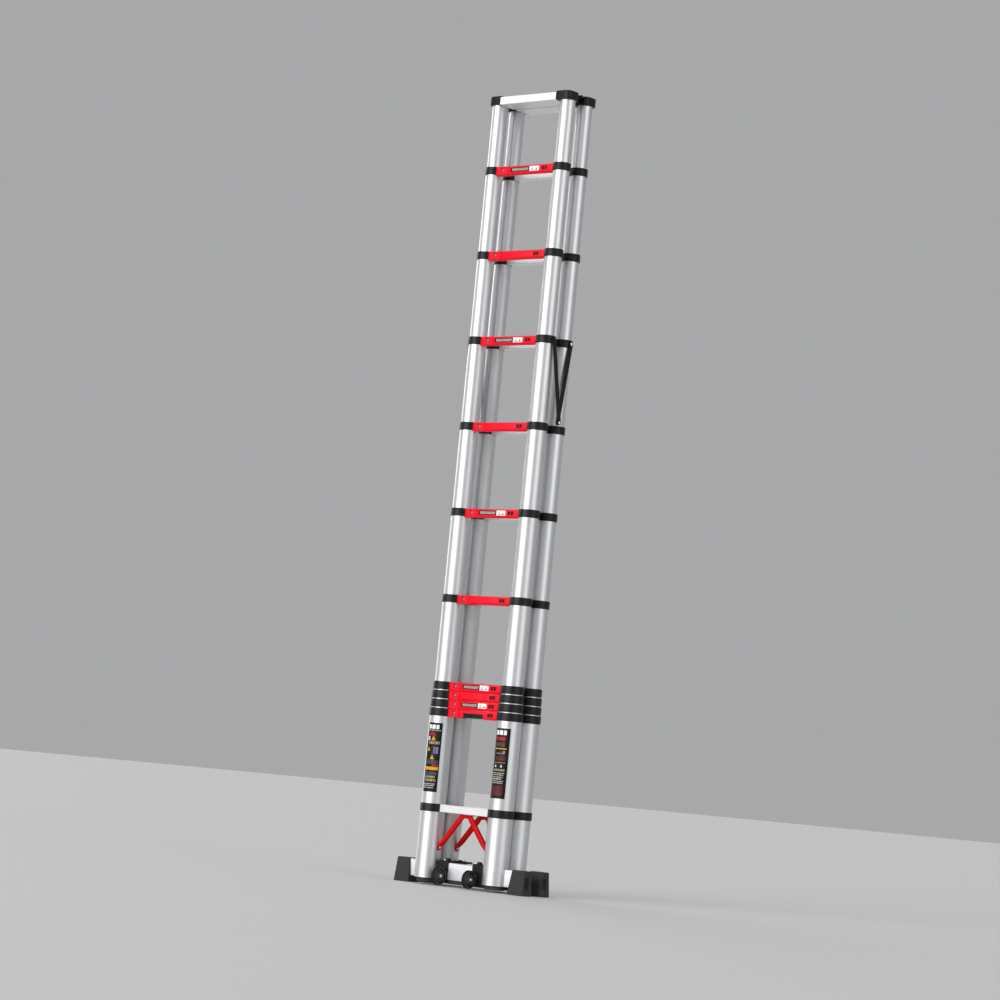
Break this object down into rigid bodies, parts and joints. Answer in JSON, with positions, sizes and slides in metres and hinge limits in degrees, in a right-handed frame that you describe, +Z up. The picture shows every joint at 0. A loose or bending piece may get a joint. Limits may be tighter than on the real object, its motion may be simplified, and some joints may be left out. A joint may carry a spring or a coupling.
{
  "type": "telescopic double ladder",
  "caption": "Closed telescopic double ladder: two telescoping ladders of round aluminium tubes with red rungs, hinged at the top, on stabiliser bars with rubber feet and small wheels.",
  "frame": {"origin": "on the floor, under the middle of the whole object", "axes": "+Z up along the tubes, +X along the rungs to the right of someone who faces the wheels side, +Y from the front ladder to the rear ladder"},
  "size_m": [0.573, 0.205, 2.743],
  "materials": {
    "aluminium": "satin anodised",
    "red_plastic": "satin moulded",
    "red_paint": "powder coat",
    "black_plastic": "fine texture",
    "black_rubber": "matt",
    "black_steel": "powder coat"
  },
  "bodies": {
    "front_base": {"front_tube_left_01": "aluminium", "front_tube_right_01": "aluminium", "front_rung_01": "red_plastic", "front_lower_rung": "aluminium", "front_brace_pair": "red_paint", "front_stabiliser_bar": "aluminium", "front_foot_left": "black_rubber", "front_foot_right": "black_rubber"},
    "front_stage_02": {"front_tube_left_02": "aluminium", "front_tube_right_02": "aluminium", "front_rung_02": "red_plastic"},
    "front_stage_03": {"front_tube_left_03": "aluminium", "front_tube_right_03": "aluminium", "front_rung_03": "red_plastic"},
    "front_stage_04": {"front_tube_left_04": "aluminium", "front_tube_right_04": "aluminium", "front_rung_04": "red_plastic"},
    "front_stage_05": {"front_tube_left_05": "aluminium", "front_tube_right_05": "aluminium", "front_rung_05": "red_plastic"},
    "front_stage_06": {"front_tube_left_06": "aluminium", "front_tube_right_06": "aluminium", "front_rung_06": "red_plastic"},
    "front_stage_07": {"front_tube_left_07": "aluminium", "front_tube_right_07": "aluminium", "front_rung_07": "red_plastic"},
    "front_stage_08": {"front_tube_left_08": "aluminium", "front_tube_right_08": "aluminium", "front_rung_08": "red_plastic"},
    "front_stage_09": {"front_tube_left_09": "aluminium", "front_tube_right_09": "aluminium", "front_rung_09": "red_plastic"},
    "front_stage_10": {"front_tube_left_10": "aluminium", "front_tube_right_10": "aluminium", "front_rung_10": "red_plastic"},
    "front_stage_11": {"front_tube_left_11": "aluminium", "front_tube_right_11": "aluminium", "front_top_tread": "aluminium"},
    "rear_stage_01": {"rear_stage_frame_01": "aluminium", "rear_stabiliser_bar": "aluminium", "rear_foot_left": "black_rubber", "rear_foot_right": "black_rubber"},
    "rear_stage_02": {"rear_stage_frame_02": "aluminium"},
    "rear_stage_03": {"rear_stage_frame_03": "aluminium"},
    "rear_stage_04": {"rear_stage_frame_04": "aluminium"},
    "rear_stage_05": {"rear_stage_frame_05": "aluminium"},
    "rear_stage_06": {"rear_stage_frame_06": "aluminium"},
    "rear_stage_07": {"rear_stage_frame_07": "aluminium"},
    "rear_stage_08": {"rear_stage_frame_08": "aluminium"},
    "rear_stage_09": {"rear_stage_frame_09": "aluminium"},
    "rear_stage_10": {"rear_stage_frame_10": "aluminium"},
    "rear_stage_11": {"rear_stage_frame_11": "aluminium"},
    "front_spreader_left": {"front_spreader_left": "black_steel"},
    "front_spreader_right": {"front_spreader_right": "black_steel"},
    "front_release_bar": {"front_release_bar": "black_plastic"},
    "rear_spreader_left": {"rear_spreader_left": "black_steel"},
    "rear_spreader_right": {"rear_spreader_right": "black_steel"},
    "rear_release_bar": {"rear_release_bar": "black_plastic"},
    "wheel_left": {"wheel_left": "black_rubber"},
    "wheel_right": {"wheel_right": "black_rubber"}
  },
  "joints": [
    {"name": "front_slide_02", "type": "slide", "parent": "front_base", "child": "front_stage_02", "axis": [0, 0, 1], "range_m": [0, 0.2695]},
    {"name": "front_slide_03", "type": "slide", "parent": "front_stage_02", "child": "front_stage_03", "axis": [0, 0, 1], "range_m": [0, 0.2695]},
    {"name": "front_slide_04", "type": "slide", "parent": "front_stage_03", "child": "front_stage_04", "axis": [0, 0, 1], "range_m": [0, 0.2695]},
    {"name": "front_slide_05", "type": "slide", "parent": "front_stage_04", "child": "front_stage_05", "axis": [0, 0, 1], "range_m": [-0.2695, 0]},
    {"name": "front_slide_06", "type": "slide", "parent": "front_stage_05", "child": "front_stage_06", "axis": [0, 0, 1], "range_m": [-0.2695, 0]},
    {"name": "front_slide_07", "type": "slide", "parent": "front_stage_06", "child": "front_stage_07", "axis": [0, 0, 1], "range_m": [-0.2695, 0]},
    {"name": "front_slide_08", "type": "slide", "parent": "front_stage_07", "child": "front_stage_08", "axis": [0, 0, 1], "range_m": [-0.2695, 0]},
    {"name": "front_slide_09", "type": "slide", "parent": "front_stage_08", "child": "front_stage_09", "axis": [0, 0, 1], "range_m": [-0.2695, 0]},
    {"name": "front_slide_10", "type": "slide", "parent": "front_stage_09", "child": "front_stage_10", "axis": [0, 0, 1], "range_m": [-0.2695, 0]},
    {"name": "front_slide_11", "type": "slide", "parent": "front_stage_10", "child": "front_stage_11", "axis": [0, 0, 1], "range_m": [-0.214, 0]},
    {"name": "a_frame_hinge", "type": "hinge", "parent": "front_stage_11", "child": "rear_stage_11", "pos_m": [0, 0.01148, 2.737], "axis": [1, 0, 0], "range_deg": [0, 32]},
    {"name": "rear_slide_10", "type": "slide", "parent": "rear_stage_11", "child": "rear_stage_10", "axis": [0, 0, 1], "range_m": [0, 0.214]},
    {"name": "rear_slide_09", "type": "slide", "parent": "rear_stage_10", "child": "rear_stage_09", "axis": [0, 0, 1], "range_m": [0, 0.2695]},
    {"name": "rear_slide_08", "type": "slide", "parent": "rear_stage_09", "child": "rear_stage_08", "axis": [0, 0, 1], "range_m": [0, 0.2695]},
    {"name": "rear_slide_07", "type": "slide", "parent": "rear_stage_08", "child": "rear_stage_07", "axis": [0, 0, 1], "range_m": [0, 0.2695]},
    {"name": "rear_slide_06", "type": "slide", "parent": "rear_stage_07", "child": "rear_stage_06", "axis": [0, 0, 1], "range_m": [0, 0.2695]},
    {"name": "rear_slide_05", "type": "slide", "parent": "rear_stage_06", "child": "rear_stage_05", "axis": [0, 0, 1], "range_m": [0, 0.2695]},
    {"name": "rear_slide_04", "type": "slide", "parent": "rear_stage_05", "child": "rear_stage_04", "axis": [0, 0, 1], "range_m": [0, 0.2695]},
    {"name": "rear_slide_03", "type": "slide", "parent": "rear_stage_04", "child": "rear_stage_03", "axis": [0, 0, 1], "range_m": [-0.2695, 0]},
    {"name": "rear_slide_02", "type": "slide", "parent": "rear_stage_03", "child": "rear_stage_02", "axis": [0, 0, 1], "range_m": [-0.2695, 0]},
    {"name": "rear_slide_01", "type": "slide", "parent": "rear_stage_02", "child": "rear_stage_01", "axis": [0, 0, 1], "range_m": [-0.2695, 0]},
    {"name": "front_spreader_left_pivot", "type": "hinge", "parent": "front_stage_08", "child": "front_spreader_left", "pos_m": [-0.1892, -0.03552, 1.88], "axis": [1, 0, 0], "range_deg": [0, 88.9]},
    {"name": "rear_spreader_left_pivot", "type": "hinge", "parent": "rear_stage_08", "child": "rear_spreader_left", "pos_m": [-0.1892, 0.05848, 1.88], "axis": [1, 0, 0], "range_deg": [-88.9, 0]},
    {"name": "front_spreader_right_pivot", "type": "hinge", "parent": "front_stage_08", "child": "front_spreader_right", "pos_m": [0.1892, -0.03552, 1.88], "axis": [1, 0, 0], "range_deg": [0, 88.9]},
    {"name": "rear_spreader_right_pivot", "type": "hinge", "parent": "rear_stage_08", "child": "rear_spreader_right", "pos_m": [0.1892, 0.05848, 1.88], "axis": [1, 0, 0], "range_deg": [-88.9, 0]},
    {"name": "wheel_left_spin", "type": "hinge", "parent": "front_base", "child": "wheel_left", "pos_m": [-0.067, -0.07152, 0.0335], "axis": [1, 0, 0], "continuous": true},
    {"name": "wheel_right_spin", "type": "hinge", "parent": "front_base", "child": "wheel_right", "pos_m": [0.067, -0.07152, 0.0335], "axis": [1, 0, 0], "continuous": true},
    {"name": "front_release_press", "type": "slide", "parent": "front_base", "child": "front_release_bar", "axis": [0, 1, 0], "range_m": [0, 0.003], "stiffness_N_per_m": 400, "springref_m": -0.004},
    {"name": "rear_release_press", "type": "slide", "parent": "rear_stage_01", "child": "rear_release_bar", "axis": [0, -1, 0], "range_m": [0, 0.003], "stiffness_N_per_m": 400, "springref_m": -0.004}
  ],
  "couplings": [
    {"joint": "rear_slide_10", "follows": "front_slide_11", "ratio": -1},
    {"joint": "rear_slide_09", "follows": "front_slide_10", "ratio": -1},
    {"joint": "rear_slide_08", "follows": "front_slide_09", "ratio": -1},
    {"joint": "rear_slide_07", "follows": "front_slide_08", "ratio": -1},
    {"joint": "rear_slide_06", "follows": "front_slide_07", "ratio": -1},
    {"joint": "rear_slide_05", "follows": "front_slide_06", "ratio": -1},
    {"joint": "rear_slide_04", "follows": "front_slide_05", "ratio": -1},
    {"joint": "rear_slide_03", "follows": "front_slide_04", "ratio": -1},
    {"joint": "rear_slide_02", "follows": "front_slide_03", "ratio": -1},
    {"joint": "rear_slide_01", "follows": "front_slide_02", "ratio": -1},
    {"joint": "front_spreader_left_pivot", "follows": "a_frame_hinge", "ratio": 2.7762},
    {"joint": "rear_spreader_left_pivot", "follows": "a_frame_hinge", "ratio": -2.7762},
    {"joint": "front_spreader_right_pivot", "follows": "a_frame_hinge", "ratio": 2.7762},
    {"joint": "rear_spreader_right_pivot", "follows": "a_frame_hinge", "ratio": -2.7762}
  ]
}
